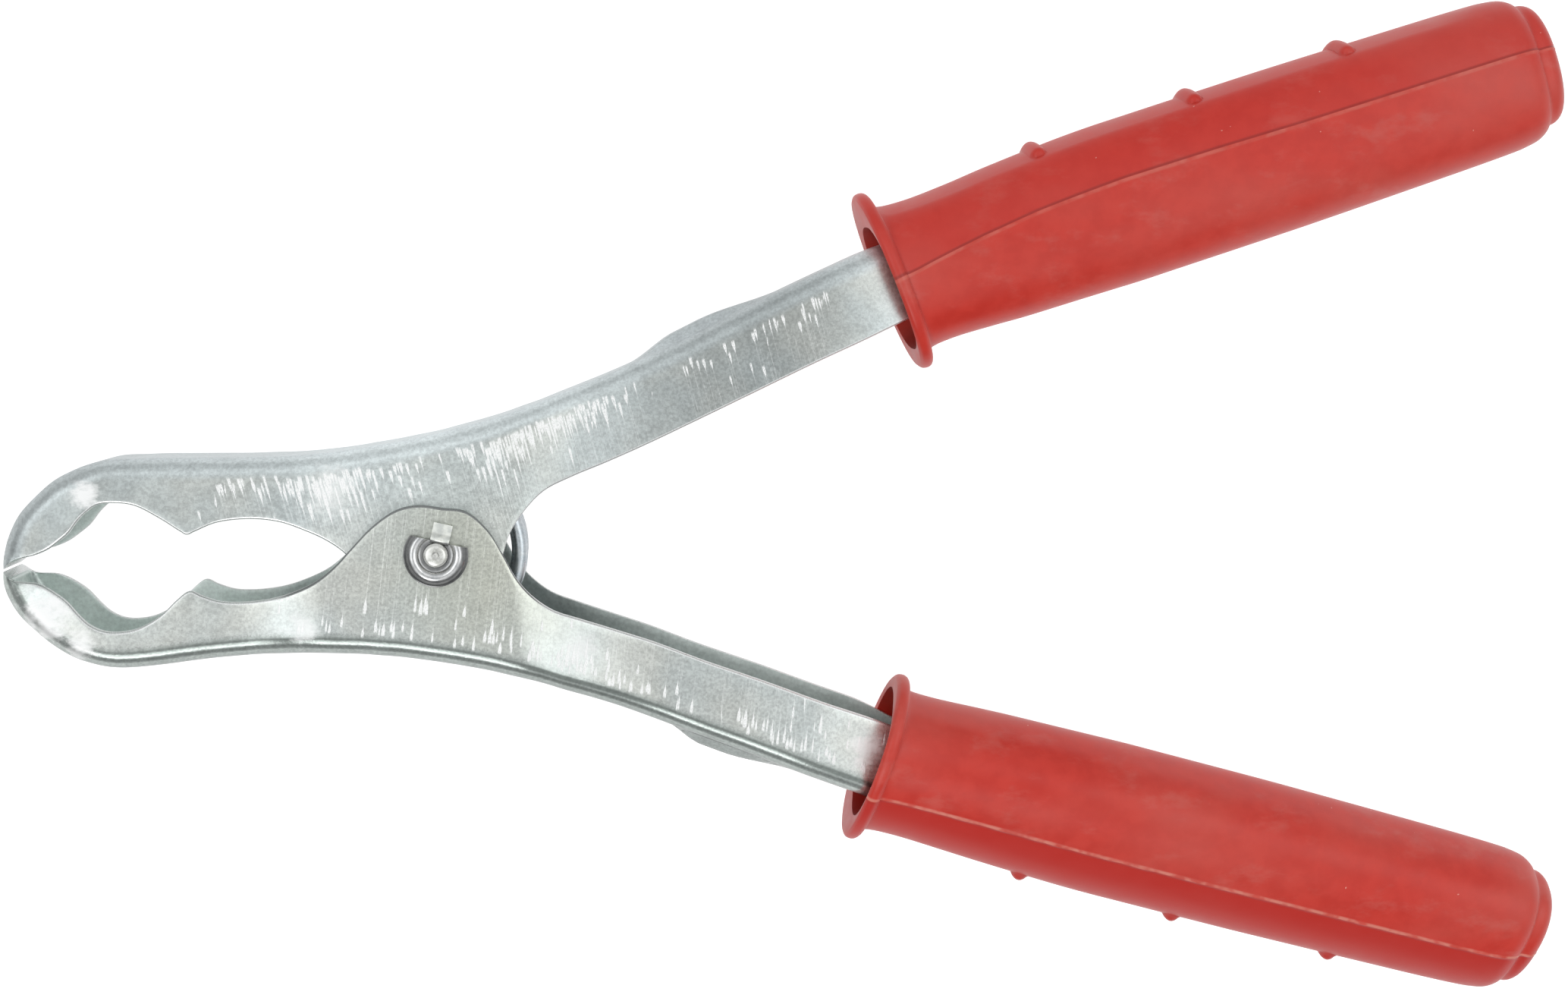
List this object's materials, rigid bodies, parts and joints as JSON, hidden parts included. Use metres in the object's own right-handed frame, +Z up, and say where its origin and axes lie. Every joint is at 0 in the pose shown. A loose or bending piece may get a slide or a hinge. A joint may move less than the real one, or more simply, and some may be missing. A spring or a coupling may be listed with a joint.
{
  "type": "sprung clamp pliers",
  "caption": "Sprung clamp pliers: pressed steel channel jaws with a round hollow, wire spring on the pivot, red slip-on grips.",
  "frame": {"origin": "centre of the pivot pin head's underside, on the pivot axis", "axes": "+Z up along the pivot axis from the pin head to its riveted end, +X from the jaws towards the handles, +Y towards the upper handle"},
  "size_m": [0.2117, 0.1387, 0.0248],
  "materials": {
    "upper_zinc": "satin zinc plate with scuffs",
    "lower_zinc": "satin zinc plate with scuffs",
    "pin_steel": "smooth satin",
    "clip_steel": "bright",
    "sleeve_steel": "satin",
    "spring_wire": "satin zinc plate",
    "upper_red": "matte soft plastic",
    "lower_red": "matte soft plastic"
  },
  "bodies": {
    "lower_lever": {"lower_channel": "lower_zinc", "lower_grip": "lower_red", "pivot_pin": "pin_steel", "retaining_clip": "clip_steel", "spacer_sleeve": "sleeve_steel", "torsion_spring": "spring_wire"},
    "upper_lever": {"upper_channel": "upper_zinc", "upper_grip": "upper_red"}
  },
  "joints": [
    {"name": "jaw_hinge", "type": "hinge", "parent": "lower_lever", "child": "upper_lever", "pos_m": [0, 0, 0.0123], "axis": [0, 0, -1], "range_deg": [0, 30], "stiffness_Nm_per_rad": 3, "springref_deg": -28.65, "deforming": ["torsion_spring"]}
  ]
}
